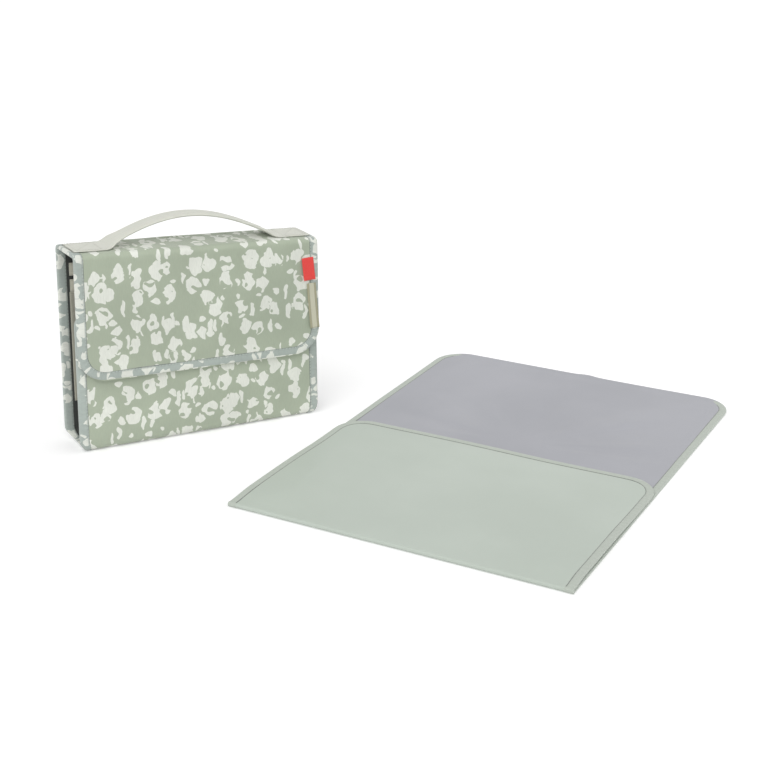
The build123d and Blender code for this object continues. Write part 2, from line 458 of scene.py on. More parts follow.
def build_brush_print(g, given):
    """Brushed motifs in millimetres: lobed blots, small dots and upright strokes."""
    place = g.move(given["Cloth"], scale=(1000, 1000, 1000))
    drift = None
    for pitch, reach in ((0.10, 1.0), (0.34, 0.12)):
        ragged = g.noise(place, pitch, 0.6, 0.5)["Color"]
        step = g.vector("SUBTRACT", ragged, (0.5, 0.5, 0.5))
        step = g.vector("MULTIPLY", step, (reach, reach, 0))
        drift = step if drift is None else g.vector("ADD", drift, step)

    def blots(size, reach, spread, wander, stretch=(1, 1), turn=0.0, gate=0.0, shift=(0, 0, 0)):
        """One blot in each cell of a given size; gate is the share of cells left empty."""
        moved = g.vector("ADD", place, g.stretch(drift, wander))
        moved = g.move(moved, shift, (stretch[0] / size, stretch[1] / size, 0), turn)
        cell = g.add("ShaderNodeTexVoronoi", {"Vector": moved, "Scale": 1.0, "Randomness": 0.8},
                     voronoi_dimensions="2D")
        chance = g.add("ShaderNodeSeparateColor", {0: cell.outputs["Color"]}).outputs
        radius = g.calc("ADD", g.calc("MULTIPLY", chance[0], spread), reach)
        radius = g.calc("MULTIPLY", radius, g.calc("GREATER_THAN", chance[1], gate))
        return g.calc("SUBTRACT", radius, cell.outputs["Distance"])

    lobes = blots(23.0, 0.275, 0.13, 13.0, stretch=(1.14, 0.88), gate=0.08)
    beside = g.calc("MULTIPLY", g.calc("MAXIMUM", g.calc("ADD", lobes, 0.24), 0.0), 0.55)
    dots = blots(19.0, 0.15, 0.10, 9.0, gate=0.45, shift=(8.1, 5.3, 0))
    dots = g.ramp(g.calc("SUBTRACT", dots, beside), -0.005, 0.015)
    strokes = blots(19.0, 0.20, 0.08, 8.0, stretch=(1.9, 0.55), turn=0.12, gate=0.5,
                    shift=(1.3, 7.7, 0))
    strokes = g.ramp(g.calc("SUBTRACT", strokes, beside), -0.005, 0.015)
    patches = g.noise(g.move(place, (31, 17, 0)), 0.12, 0.0)["Fac"]
    bites = g.ramp(patches, 0.64, 0.655, 1.0, 0.0)
    body = g.calc("MULTIPLY", g.ramp(lobes, -0.004, 0.012), bites)
    return {"Mask": g.calc("MAXIMUM", body, g.calc("MAXIMUM", dots, strokes))}


def build_weave(g, given):
    """Plain weave: over-and-under threads along both directions of the cloth."""
    place = g.stretch(given["Cloth"], g.calc("DIVIDE", 1.0, given["Pitch"]))
    across, along = g.parts(place)[:2]
    warp, weft = g.wave(across, 1.0), g.wave(along, 1.0)
    odd = g.add("ShaderNodeTexChecker", {"Vector": place, "Scale": 1.0, "Color1": (1, 1, 1, 1),
                                         "Color2": (0, 0, 0, 1)}).outputs["Fac"]
    height = g.add("ShaderNodeMix", {0: odd, 2: warp, 3: weft}, data_type="FLOAT").outputs[0]
    slub = g.noise(g.move(given["Cloth"], scale=(900, 140, 1)), 1.0, 2.0)["Fac"]
    return {"Height": height, "Slub": slub}


def build_soft_folds(g, given):
    """Broad soft creasing of a light cloth, and the slow change of tone from handling."""
    place = g.move(given["Cloth"])
    drift = g.noise(place, 9.0, 2.0)["Color"]
    bent = g.mix(0.012, place, drift, "ADD")
    creases = g.noise(g.move(bent, scale=(1.0, 0.45, 1), turn=0.5), 24.0, 1.5, 0.45)["Fac"]
    off = g.calc("ABSOLUTE", g.calc("SUBTRACT", g.calc("MULTIPLY", creases, 2.0), 1.0))
    height = g.calc("POWER", g.calc("SUBTRACT", 1.0, off), 5.0)
    tone = g.noise(place, 13.0, 3.0)["Fac"]
    return {"Height": height, "Tone": tone}


def build_seam_thread(g, given):
    """Along a folded tape: dashes of thread near its inner edge, and a band of painted shade beside
    them.
    """
    run, inward = g.parts(given["Tape"])[:2]
    along = g.calc("FRACT", g.calc("DIVIDE", run, given["Pitch"]))
    dash = g.calc("MULTIPLY", g.ramp(along, 0.08, 0.2), g.ramp(along, 0.8, 0.92, 1.0, 0.0))
    off = g.calc("ABSOLUTE", g.calc("SUBTRACT", inward, given["Inward"]))
    line = g.ramp(off, 0.0003, 0.00065, 1.0, 0.0)
    # painted shade: a soft dark band either side of the thread line, for the shade in the seam's dip
    dip = g.ramp(off, 0.0004, 0.0016, 1.0, 0.0)
    pucker_pitch = 6.2 * MM
    pucker = g.calc("SINE", g.calc("MULTIPLY", run, 2 * math.pi / pucker_pitch))
    return {"Thread": g.calc("MULTIPLY", dash, line), "Dip": dip, "Pucker": pucker}


GROUPS = {
    "brush print": node_group("brush print", {"Cloth": VECTOR}, {"Mask": FLOAT}, build_brush_print),
    "plain weave": node_group("plain weave", {"Cloth": VECTOR, "Pitch": (FLOAT, 0.0005)},
                              {"Height": FLOAT, "Slub": FLOAT}, build_weave),
    "soft folds": node_group("soft folds", {"Cloth": VECTOR}, {"Height": FLOAT, "Tone": FLOAT},
                             build_soft_folds),
    "seam thread": node_group("seam thread", {"Tape": VECTOR, "Pitch": (FLOAT, 0.0036),
                                              "Inward": (FLOAT, 0.008)},
                              {"Thread": FLOAT, "Dip": FLOAT, "Pucker": FLOAT}, build_seam_thread),
}


# ---------------------------------------------------------------- finishes


def shade(colour, factor):
    return tuple(c * factor for c in colour[:3]) + (1.0,)


class Finish:
    """A material under construction: its graph, its cloth coordinates and its Principled shader."""

    def __init__(self, name, roughness=0.6, sheen=0.0, metallic=0.0, specular=0.35):
        self.material = bpy.data.materials.new(name)
        self.material.use_nodes = True
        tree = self.material.node_tree
        self.g = Graph(tree)
        self.shader = next(n for n in tree.nodes if n.type == "BSDF_PRINCIPLED")
        for socket, value in (("Roughness", roughness), ("Sheen Weight", sheen), ("Metallic", metallic),
                              ("Specular IOR Level", specular)):
            self.shader.inputs[socket].default_value = value
        self.cloth = self.g.add("ShaderNodeUVMap", uv_map="cloth").outputs[0]

    def group(self, name, **inputs):
        node = self.g.add("ShaderNodeGroup", node_tree=GROUPS[name])
        for socket, value in inputs.items():
            if isinstance(value, bpy.types.NodeSocket):
                self.g.tree.links.new(value, node.inputs[socket])
            else:
                node.inputs[socket].default_value = value
        return node.outputs

    def bump(self, height, distance, strength=1.0, under=None):
        inputs = {"Height": height, "Distance": distance, "Strength": strength}
        if under is not None:
            inputs["Normal"] = under
        return self.g.add("ShaderNodeBump", inputs).outputs[0]

    def done(self, colour, normal=None, roughness=None):
        links = self.g.tree.links
        if isinstance(colour, bpy.types.NodeSocket):
            links.new(colour, self.shader.inputs["Base Color"])
        else:
            self.shader.inputs["Base Color"].default_value = colour
        if normal is not None:
            links.new(normal, self.shader.inputs["Normal"])
        if roughness is not None:
            links.new(roughness, self.shader.inputs["Roughness"])
        return self.material


def printed_cloth(name, ground, motif, tape_seam=False, folds=0.0009):
    """Brush print on a fine woven polyester; on a tape it also carries the seam's thread line, painted
    shade beside it and a painted shadow along the tape's inner edge.
    """
    f = Finish(name, roughness=0.55, sheen=0.25)
    g = f.g
    mask = f.group("brush print", Cloth=f.cloth)["Mask"]
    weave = f.group("plain weave", Cloth=f.cloth, Pitch=0.00055)
    soft = f.group("soft folds", Cloth=f.cloth)
    tone = g.ramp(soft["Tone"], 0.3, 0.7, 0.94, 1.05)
    grey_tone = g.add("ShaderNodeCombineColor", {0: tone, 1: tone, 2: tone}).outputs[0]
    colour = g.mix(1.0, g.mix(mask, ground, motif), grey_tone, "MULTIPLY")
    thread_tone = g.ramp(weave["Slub"], 0.3, 0.7, 0.0, 0.10)
    colour = g.mix(thread_tone, colour, shade(ground, 0.55))
    normal = f.bump(soft["Height"], folds, 0.6)
    normal = f.bump(weave["Height"], 0.00012, 0.5, normal)
    if tape_seam:
        tape_place = g.add("ShaderNodeUVMap", uv_map="tape").outputs[0]
        seam = f.group("seam thread", Tape=tape_place, Inward=seam_inward)
        edge = f.group("seam thread", Tape=tape_place, Inward=tape - 0.1 * MM)
        # painted shade in the seam's dip, beside the thread line
        colour = g.mix(g.calc("MULTIPLY", seam["Dip"], 0.30), colour, shade(ground, 0.5))
        # painted shadow: a dark line where the tape's inner edge meets the panel
        colour = g.mix(g.calc("MULTIPLY", edge["Dip"], 0.75), colour, shade(ground, 0.3))
        colour = g.mix(g.calc("MULTIPLY", seam["Thread"], 0.8), colour, shade(ground, 1.25))
        normal = f.bump(seam["Pucker"], 0.00025, 0.5, normal)
    rough = g.ramp(weave["Height"], 0.0, 1.0, 0.62, 0.48)
    return f.done(colour, normal, rough)


def plain_cloth(name, colour, pitch=0.0006, roughness=0.75, relief=0.00015, folds=0.0, hollow_shade=0.3,
                sheen=0.2):
    """A plain woven cloth: lining, pocket cloth, labels, thread."""
    f = Finish(name, roughness=roughness, sheen=sheen)
    g = f.g
    weave = f.group("plain weave", Cloth=f.cloth, Pitch=pitch)
    soft = f.group("soft folds", Cloth=f.cloth)
    # painted shade: darker in the hollows of the weave, between the threads
    dark = g.ramp(weave["Height"], 0.1, 0.9, hollow_shade, 0.0)
    tint = g.mix(dark, colour, shade(colour, 0.5))
    tint = g.mix(g.ramp(soft["Tone"], 0.3, 0.7, 0.0, 0.14), tint, shade(colour, 0.8))
    normal = f.bump(weave["Height"], relief, 0.8)
    if folds:
        normal = f.bump(soft["Height"], folds, 0.6, normal)
    return f.done(tint, normal, g.ramp(weave["Slub"], 0.3, 0.7, roughness - 0.06, roughness + 0.06))


def striped_ribbon(name, edge, middle, half):
    """Grosgrain ribbon: crosswise ribs, a paler middle and darker edges."""
    f = Finish(name, roughness=0.7, sheen=0.15)
    g = f.g
    across, along = g.parts(f.cloth)[:2]
    wobble = g.noise(g.move(f.cloth, scale=(300, 60, 1)), 1.0, 2.0)["Fac"]
    off = g.calc("ADD", g.calc("ABSOLUTE", across), g.calc("MULTIPLY", wobble, 0.0002))
    tint = g.mix(g.ramp(off, half - 0.0002, half + 0.0002), middle, edge)
    line = g.calc("ABSOLUTE", g.calc("SUBTRACT", off, half))
    tint = g.mix(g.ramp(line, 0.0001, 0.0004, 0.5, 0.0), tint, shade(edge, 0.55))
    ribs = g.wave(along, 1.0 * MM)
    # painted shade in the grooves between the ribs
    tint = g.mix(g.ramp(ribs, 0.0, 0.6, 0.25, 0.0), tint, shade(edge, 0.6))
    return f.done(tint, f.bump(ribs, 0.00018, 0.8))


def coated_cloth(name, colour, roughness=0.42, gloss=0.45):
    """Wipe-clean coated cloth: a faint leathery grain over a soft film, with slow tone changes."""
    f = Finish(name, roughness=roughness, sheen=0.1, specular=gloss)
    g = f.g
    grain = g.add("ShaderNodeTexVoronoi", {"Vector": f.cloth, "Scale": 900.0}).outputs["Distance"]
    weave = f.group("plain weave", Cloth=f.cloth, Pitch=0.0009)
    soft = f.group("soft folds", Cloth=f.cloth)
    smear = g.noise(g.move(f.cloth), 7.0, 3.0)["Fac"]
    tint = g.mix(g.ramp(smear, 0.3, 0.7, 0.0, 0.5), shade(colour, 1.03), shade(colour, 0.93))
    tint = g.mix(g.ramp(soft["Tone"], 0.35, 0.65, 0.0, 0.25), tint, shade(colour, 0.95))
    normal = f.bump(soft["Height"], 0.0005, 0.35)
    normal = f.bump(grain, 0.00006, 0.5, normal)
    normal = f.bump(weave["Height"], 0.00005, 0.4, normal)
    return f.done(tint, normal, g.ramp(smear, 0.3, 0.7, roughness - 0.05, roughness + 0.08))


def tape_cloth(name, colour, inward):
    """Plain bias tape with its line of thread, painted shade in the dip beside it, and a painted shadow
    along its inner edge.
    """
    f = Finish(name, roughness=0.6, sheen=0.2)
    g = f.g
    weave = f.group("plain weave", Cloth=f.cloth, Pitch=0.0006)
    place = g.add("ShaderNodeUVMap", uv_map="tape").outputs[0]
    seam = f.group("seam thread", Tape=place, Inward=inward, Pitch=0.0034)
    edge = f.group("seam thread", Tape=place, Inward=inward + 1.3 * MM)
    # painted shade in the hollows of the weave
    tint = g.mix(g.ramp(weave["Height"], 0.1, 0.9, 0.15, 0.0), colour, shade(colour, 0.55))
    # painted shade in the seam's dip beside the thread line
    tint = g.mix(g.calc("MULTIPLY", seam["Dip"], 0.12), tint, shade(colour, 0.6))
    tint = g.mix(g.calc("MULTIPLY", seam["Thread"], 0.5), tint, shade(colour, 1.12))
    # painted shadow: a dark line where the tape's inner edge meets the mat's cloth
    tint = g.mix(g.calc("MULTIPLY", edge["Dip"], 0.85), tint, shade(colour, 0.22))
    normal = f.bump(weave["Height"], 0.0001, 0.6)
    normal = f.bump(seam["Pucker"], 0.00022, 0.5, normal)
    return f.done(tint, normal)


def ribbed_webbing(name, colour, rib=0.0021):
    """Webbing: lengthwise ribs of heavy yarn crossed by fine picks. Cloth runs (along, across)."""
    f = Finish(name, roughness=0.7, sheen=0.3)
    g = f.g
    along, across = g.parts(f.cloth)[:2]
    pick = 1.1 * MM
    wobble = g.noise(g.move(f.cloth, scale=(60, 500, 1)), 1.0, 2.0)["Fac"]
    ribs = g.wave(g.calc("ADD", g.calc("DIVIDE", across, rib), g.calc("MULTIPLY", wobble, 0.25)), 1.0)
    picks = g.wave(g.calc("ADD", g.calc("DIVIDE", along, pick), g.calc("MULTIPLY", ribs, 0.6)), 1.0)
    # painted shade: darker in the grooves between the ribs and between the picks
    tint = g.mix(g.ramp(ribs, 0.0, 0.55, 0.30, 0.0), colour, shade(colour, 0.62))
    tint = g.mix(g.ramp(picks, 0.0, 0.6, 0.14, 0.0), tint, shade(colour, 0.6))
    tint = g.mix(g.ramp(wobble, 0.3, 0.7, 0.0, 0.10), tint, shade(colour, 0.85))
    normal = f.bump(ribs, 0.0004, 0.7)
    normal = f.bump(picks, 0.00012, 0.7, normal)
    return f.done(tint, normal)


def open_mesh(name, colour, hole=0.0021):
    """Knitted mesh: round holes in staggered rows, dark behind them."""
    f = Finish(name, roughness=0.7)
    g = f.g
    cell = g.add("ShaderNodeTexVoronoi", {"Vector": f.cloth, "Scale": 1 / hole, "Randomness": 0.12},
                 voronoi_dimensions="2D").outputs["Distance"]
    yarn = g.ramp(cell, 0.30, 0.42)
    tint = g.mix(yarn, shade(colour, 0.25), colour)
    return f.done(tint, f.bump(yarn, 0.0004, 0.9))


def painted_metal(name, colour):
    """Painted zinc: fine orange peel, and bare bright metal on the worn edges."""
    f = Finish(name, roughness=0.35, metallic=0.0, specular=0.5)
    g = f.g
    place = g.add("ShaderNodeTexCoord").outputs["Object"]
    peel = g.noise(place, 1800.0, 2.0)["Fac"]
    rub = g.noise(place, 420.0, 3.0)["Fac"]
    worn = g.ramp(rub, 0.60, 0.68)
    g.tree.links.new(worn, f.shader.inputs["Metallic"])
    tint = g.mix(worn, colour, (0.62, 0.62, 0.60, 1))
    return f.done(tint, f.bump(peel, 0.00003, 0.5), g.ramp(rub, 0.3, 0.7, 0.30, 0.42))


SAGE = (0.412, 0.466, 0.36, 1)
CHALK = (0.80, 0.82, 0.75, 1)
TAPE_GREY = (0.42, 0.475, 0.44, 1)
FINISHES = {
    "print": printed_cloth("sage brush print", SAGE, CHALK),
    "print_tape": printed_cloth("grey brush print tape", TAPE_GREY, CHALK, tape_seam=True,
                                folds=0.0003),
    "lining": plain_cloth("dark lining", (0.055, 0.060, 0.055, 1), folds=0.0008),
    "pocket": plain_cloth("beige pocket cloth", (0.50, 0.49, 0.40, 1), folds=0.0006),
    "webbing": ribbed_webbing("cream webbing", (0.70, 0.71, 0.63, 1)),
    "red": plain_cloth("red woven label", (0.93, 0.080, 0.070, 1), pitch=0.0005, roughness=0.6,
                       sheen=0.05),
    "ribbon": striped_ribbon("olive ribbon", (0.40, 0.385, 0.265, 1), (0.60, 0.59, 0.46, 1),
                             3.1 * MM),
    "thread": plain_cloth("sewing thread", (0.50, 0.55, 0.50, 1), pitch=0.0004),
    "cream_thread": plain_cloth("cream thread", (0.70, 0.71, 0.64, 1), pitch=0.0004),
    "zip_tape": plain_cloth("beige zip tape", (0.58, 0.57, 0.47, 1), pitch=0.0009),
    "coil": plain_cloth("zip coil nylon", (0.10, 0.105, 0.10, 1), roughness=0.4),
    "mesh": open_mesh("dark mesh", (0.16, 0.17, 0.16, 1)),
    "metal": painted_metal("painted zip metal", (0.30, 0.31, 0.30, 1)),
    "mat_face": coated_cloth("sage coated cloth", (0.492, 0.548, 0.488, 1)),
    "mat_back": coated_cloth("blue-grey coated cloth", (0.395, 0.40, 0.432, 1), 0.5, 0.35),
    "mat_tape": tape_cloth("sage mat tape", (0.50, 0.545, 0.485, 1), 7.6 * MM),
}


# ---------------------------------------------------------------- plumping by cloth simulation


def plump(piece, held, pressure, cap, inner_cap):
    """Blows the padded panel up a little as cloth held at its seams, then keeps the shape.

    cap and inner_cap are the most that the outer and the inner face may move.
    """
    mesh = piece.data
    count = len(mesh.vertices)
    before = np.empty(count * 3)
    mesh.vertices.foreach_get("co", before)
    before = before.reshape(-1, 3)
    group = piece.vertex_groups.new(name="held")
    group.add([int(k) for k in np.flatnonzero(held)], 1.0, "REPLACE")
    cloth = piece.modifiers.new("plump", "CLOTH")
    settings = cloth.settings
    settings.quality, settings.mass = 5, 0.15
    settings.tension_stiffness = settings.compression_stiffness = 14
    settings.shear_stiffness, settings.bending_stiffness = 6, 0.4
    settings.use_pressure, settings.uniform_pressure_force = True, pressure
    settings.vertex_group_mass = "held"
    settings.effector_weights.gravity = 0
    cloth.collision_settings.use_collision = False
    scene = bpy.context.scene
    settling = 20
    for step in range(1, settling + 1):
        scene.frame_set(step)
    shaped = piece.evaluated_get(bpy.context.evaluated_depsgraph_get()).data
    after = np.empty(count * 3)
    shaped.vertices.foreach_get("co", after)
    moved = after.reshape(-1, 3) - before
    most = np.where(np.arange(count) < count // 2, cap, inner_cap)
    size = np.maximum(np.linalg.norm(moved, axis=1), 1e-9)
    moved *= (most * np.tanh(size / np.maximum(most, 1e-9)) / size)[:, None]
    piece.modifiers.remove(cloth)
    piece.vertex_groups.remove(group)
    scene.frame_set(1)
    mesh.vertices.foreach_set("co", (before + moved).ravel())
    mesh.update()


# ---------------------------------------------------------------- heights of the padded faces


def crown(half, low, high, peak, reach):
    """A face that swells away from its tapes; low or high is None where the cloth runs on."""
    def height(u, v):
        away = half - abs(u)
        if low is not None:
            away = np.minimum(away, v - low)
        if high is not None:
            away = np.minimum(away, high - v)
        return peak * (1 - np.exp(-np.maximum(away - shoulder, 0) / reach))
    return height


def swell(low, high, value):
    """Goes smoothly from 0 at low to 1 at high."""
    t = np.clip((value - low) / (high - low), 0, 1)
    return t * t * (3 - 2 * t)


def ripple(u, v, size, seed):
    """Slow uneven waves between -1 and 1, the same each run."""
    total, golden_turn = 0, 2.39996
    for k in range(5):
        a = seed * 1.7 + k * golden_turn
        turn = 2 * math.pi / (size * (0.7 + 0.25 * k))
        along = u * math.cos(a) + v * math.sin(a)
        total = total + np.sin(turn * along + seed * 3.1 + k * 1.9) / (1 + 0.4 * k)
    return total / 2.6


# ---------------------------------------------------------------- the pouch: three padded panels

half_width = pouch_width / 2
inset = 0.6 * MM        # the cloth stops short of the tape's folded edge
pouch_origin = (pouch_mid, 0, 0)
back_skin = Skin(pouch_origin, X, Y, [
    (back_y - lid_seam, lid_z), (back_y, lid_z), (back_y, base_z), (front_y + toe_seam, base_z)],
    [0, fold_round, heel_round, 0])
flap_skin = Skin(pouch_origin, X, (0, -1, 0), [
    (lid_seam - back_y, lid_z), (-flap_y, lid_z), (-flap_y, flap_low)], [0, fold_round, 0])
front_skin = Skin(pouch_origin, X, (0, -1, 0), [
    (-front_y - toe_seam, base_z), (-front_y, base_z), (-front_y, front_high)],
    [0, toe_round, 0], -1)
lean_left, lean_right = 10 * MM, -3 * MM     # how far the top stands above or below level


def on_floor(place):
    """Nothing soft goes under the floor."""
    place[..., 2] = np.maximum(place[..., 2], 0.05 * MM)
    return place


def slouch(place):
    """The soft pouch's stance: its left side stands taller, its back sits a little to the left."""
    place = place.copy()
    leftness = (pouch_right - place[..., 0]) / pouch_width
    rise = place[..., 2] / lid_z
    depth = (place[..., 1] - flap_y) / (back_y - flap_y)
    left_foot, left_top, right_foot, right_top = -5 * MM, 1.5 * MM, 2 * MM, 1.5 * MM
    back_set = 7 * MM
    shift = leftness * (left_foot + (left_top - left_foot) * rise)
    shift = shift + (1 - leftness) * (right_foot + (right_top - right_foot) * rise)
    place[..., 2] += rise * (lean_right + (lean_left - lean_right) * leftness)
    place[..., 0] += shift - back_set * depth
    corner_tall, corner_tuck = 16 * MM, 5 * MM      # the lower corners are drawn in
    side = (place[..., 0] - pouch_mid) / half_width
    foot = np.clip(1 - place[..., 2] / corner_tall, 0, 1) ** 2
    place[..., 0] -= corner_tuck * np.sign(side) * foot * np.clip(abs(side), 0, 1.1) ** 10
    return on_floor(place)


def slide_over(place):
    """The back panel's sideways set alone, for what is sewn inside it."""
    moved = slouch(place)
    moved[..., 2] = place[..., 2]
    return moved


for skin in (back_skin, flap_skin, front_skin):
    skin.settle = slouch
lid_end = (back_y - lid_seam) - flap_y      # along the flap's skin, where the cloth turns down


def bend_pouch(piece, a, b, start, end):
    """start and end, (y, z) in millimetres from the middle of the pouch's base, are not used."""
    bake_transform(piece)


FOLDS = {
    "back": ("pouch_back", "pouch_top", (24, 211), (21, 214)),
    "flap": ("pouch_top", "flap", (-25, 214), (-30, 209)),
    "front": ("pouch_back", "pouch_front", (-19, 0), (-24, 5)),
}


def dents(u, v, pitch, seed, deep):
    """Slow unevenness of a pouch wall, none near its side tapes."""
    return deep * ripple(u, v, pitch, seed) * swell(shoulder, 32 * MM, half_width - abs(u))


def back_outside(u, v):
    upright = 1 - swell(back_skin.length - 70 * MM, back_skin.length - 45 * MM, v)
    puff = crown(half_width, None, None, 1.6 * MM, 16 * MM)(u, v)
    fuller = 0.45 + 0.55 * swell(10 * MM, 40 * MM, v)
    return (puff * fuller + dents(u, v, 90 * MM, 2, 0.35 * MM)) * upright


def back_inside(u, v):
    return crown(half_width, 0, None, 0.5 * MM, 12 * MM)(u, v) * swell(0, 30 * MM, v)


def flap_outside(u, v):
    hangs = swell(lid_end - 5 * MM, lid_end + 25 * MM, v)
    puff = crown(half_width, None, flap_skin.length, 2.1 * MM, 15 * MM)(u, v)
    return puff * (0.18 + 0.82 * hangs) + dents(u, v, 75 * MM, 5, 0.38 * MM) * hangs


def front_outside(u, v):
    lower = 1 - swell(65 * MM, 92 * MM, v)      # under the flap it lies flat
    puff = crown(half_width, None, front_skin.length, 0.25 * MM + 1.5 * MM * lower, 14 * MM)(u, v)
    uneven = dents(u, v, 80 * MM, 9, 0.3 * MM) * lower * swell(12 * MM, 40 * MM, v)
    return puff * swell(0, 30 * MM, v) + uneven


def front_inside(u, v):
    return crown(half_width, 0, front_skin.length, 0.35 * MM, 12 * MM)(u, v)


def flap_inside(u, v):
    return crown(half_width, 0, flap_skin.length, 0.15 * MM, 12 * MM)(u, v)


PANELS = {
    # name: (skin, corner, outside, inside, print shift, print direction, nodes it stands for)
    "back": (back_skin, 0, back_outside, back_inside, (0, 0), -1,
             ["back_shell", "back_foam", "back_lining",
              "bottom_shell", "bottom_board", "bottom_lining"]),
    "flap": (flap_skin, flap_corner, flap_outside, flap_inside, (0, 0), 1,
             ["top_shell", "top_foam", "top_lining", "flap_shell", "flap_foam", "flap_lining",
              "flap_magnets"]),
    "front": (front_skin, front_corner, front_outside, front_inside, (0.31, 0.52), -1,
              ["front_shell", "front_foam", "front_lining", "front_magnets"]),
}
TAPES = {
    # name: (outline, print shift, nodes it stands for) of each tape
    "back": [(side_line(pouch_width, 0, back_skin.length, 4 * MM, -1), (0.9, 0.1),
              ["back_binding_left", "bottom_binding_left"]),
             (side_line(pouch_width, 0, back_skin.length, 4 * MM, 1), (1.9, 0.35),
              ["back_binding_right", "bottom_binding_right"])],
    "flap": [(outline(pouch_width, 0, flap_skin.length, flap_corner, 3.5 * MM), (2.7, 0.6),
              ["top_binding_left", "top_binding_right", "flap_binding"])],
    "front": [(outline(pouch_width, 0, front_skin.length, front_corner, 3.5 * MM), (4.2, 0.8),
               ["front_binding"])],
}
LOOSE = {
    # along each skin, the stretch between folds and tapes that may swell
    "back": (22 * MM, back_skin.length - 62 * MM),
    "flap": (lid_end + 10 * MM, flap_skin.length - 11 * MM),
    "front": (20 * MM, front_skin.length - 75 * MM),
}


def refined_stops(width, skin, corner, step):
    """Rows of a panel, close together where the skin turns."""
    rows = edge_stops(width, 0, skin.length, corner, step)
    heading = np.unwrap(np.arctan2(skin.tangent[:, 1], skin.tangent[:, 0]))
    turn = abs(np.gradient(heading, skin.reach))
    turning, closest = 20, 0.45 * MM        # radians a metre; the least distance between rows
    full = rows[0][1]
    stops = {round(v, 6) for v, half in rows if abs(half - full) < 1e-9}
    stops |= {round(v, 6) for v, bend in zip(skin.reach, turn) if bend > turning}
    kept = []
    for v in sorted(stops):
        if not kept or v - kept[-1] > closest:
            kept.append(v)
    return [(v, full) for v in kept] + [(v, half) for v, half in rows if abs(half - full) >= 1e-9]


held_edge = 11 * MM                 # what the tape and its seam hold down
for part, (skin, corner, outside, inside, shift, flip, nodes) in PANELS.items():
    rows = refined_stops(pouch_width - 2 * inset, skin, corner, 5 * MM)
    panel, (u, v) = quilt("pouch_%s_panel" % part, skin, rows, 53, wall, outside, inside,
                          [FINISHES["print"], FINISHES["lining"]], shift, flip)
    loose_from, loose_to = LOOSE[part]
    held = (abs(u) > half_width - held_edge) | (v < loose_from) | (v > loose_to)
    plump(panel, held, 4.0, 1.6 * MM, 0.5 * MM)
    rounder(panel)
    bend_pouch(panel, *FOLDS[part])
    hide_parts(*nodes)
    for k, (stops, tape_shift, tape_nodes) in enumerate(TAPES[part]):
        side = ["left", "right"][k] if len(TAPES[part]) == 2 else "edge"
        band = taped_edge("pouch_%s_tape_%s" % (part, side), skin, stops,
                          folded_section(tape, wall, proud), FINISHES["print_tape"], shift=tape_shift)
        bend_pouch(band, *FOLDS[part])
        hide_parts(*tape_nodes)
        thread = stitches("pouch_%s_stitching_%s" % (part, side), skin, stops, seam_inward,
                          0.55 * MM, FINISHES["thread"])
        bend_pouch(thread, *FOLDS[part])


# ---------------------------------------------------------------- the handle

strap_low, strap_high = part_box("handle_end_left")
strap_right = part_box("handle_end_right")[1]
grip_low, grip_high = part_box("handle_grip")
handle_y = (strap_low[1] + strap_high[1]) / 2
strap_far = strap_right[0] - pouch_mid
grip_half = grip_high[0] - pouch_mid
strap_width, strap_t = strap_high[1] - strap_low[1], strap_high[2] - strap_low[2]
grip_width, grip_t = grip_high[1] - grip_low[1], 3.5 * MM
groove_deep, groove_wide = 0.65 * MM, 0.13     # between the two folded edges of the grip


def handle_line(x):
    """Height, width, thickness and flatness of the webbing at a distance from its middle."""
    t = min(1.0, abs(x) / grip_half)
    arch = grip_low[2] + grip_t / 2 + (grip_high[2] - grip_low[2] - grip_t) * (1 - t * t) ** 1.15
    flat = strap_low[2] + strap_t / 2
    lying = float(swell(grip_half - 8 * MM, grip_half + 5 * MM, abs(x)))
    gather = float(swell(grip_half - 22 * MM, grip_half + 6 * MM, abs(x)))
    return (arch * (1 - lying) + flat * lying, grip_width + (strap_width - grip_width) * gather,
            grip_t + (strap_t - grip_t) * lying, lying)


def handle_webbing():
    """One length of webbing: flat sewn ends, and a middle folded to a double-rolled grip."""
    stations = np.concatenate([np.linspace(-strap_far, -grip_half - 6 * MM, 12),
                               np.linspace(-grip_half - 5 * MM, grip_half + 5 * MM, 95),
                               np.linspace(grip_half + 6 * MM, strap_far, 12)])
    lines = np.array([handle_line(x) for x in stations])
    slope = np.gradient(lines[:, 0], stations)
    steps = np.hypot(np.diff(stations), np.diff(lines[:, 0]))
    run = np.concatenate([[0], np.cumsum(steps)])
    sides = 36
    places, cloth = [], []
    for x, (z, width, thick, lying), tilt, r in zip(stations, lines, slope, run):
        up = np.array([-tilt, 1]) / math.hypot(tilt, 1)
        for k in range(sides):
            a = 2 * math.pi * k / sides
            c, s = math.cos(a), math.sin(a)
            across = width / 2 * math.copysign(abs(c) ** 0.5, c)
            share = across / (width / 2)
            body = math.copysign(abs(s) ** 0.55, s) * thick / 2
            groove = (1 - lying) * groove_deep * math.exp(-(share / groove_wide) ** 2)
            body -= math.copysign(groove * (1 if s > 0 else 0.7), s)
            spot = np.array([x, z]) + up * body
            places.append((pouch_mid + spot[0], handle_y + across, spot[1]))
            cloth.append((r, across + (0.05 if s > 0 else 0.15)))
    faces = tube_faces(0, len(stations), sides) + tube_ends(0, len(stations), sides)
    piece = new_piece("handle_webbing", slouch(np.array(places)), faces, {"cloth": cloth}, None,
                      [FINISHES["webbing"]])
    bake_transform(piece)
    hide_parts("handle_end_left", "handle_end_right", "handle_grip")


def lid_along(y):
    return (back_y - lid_seam) - y


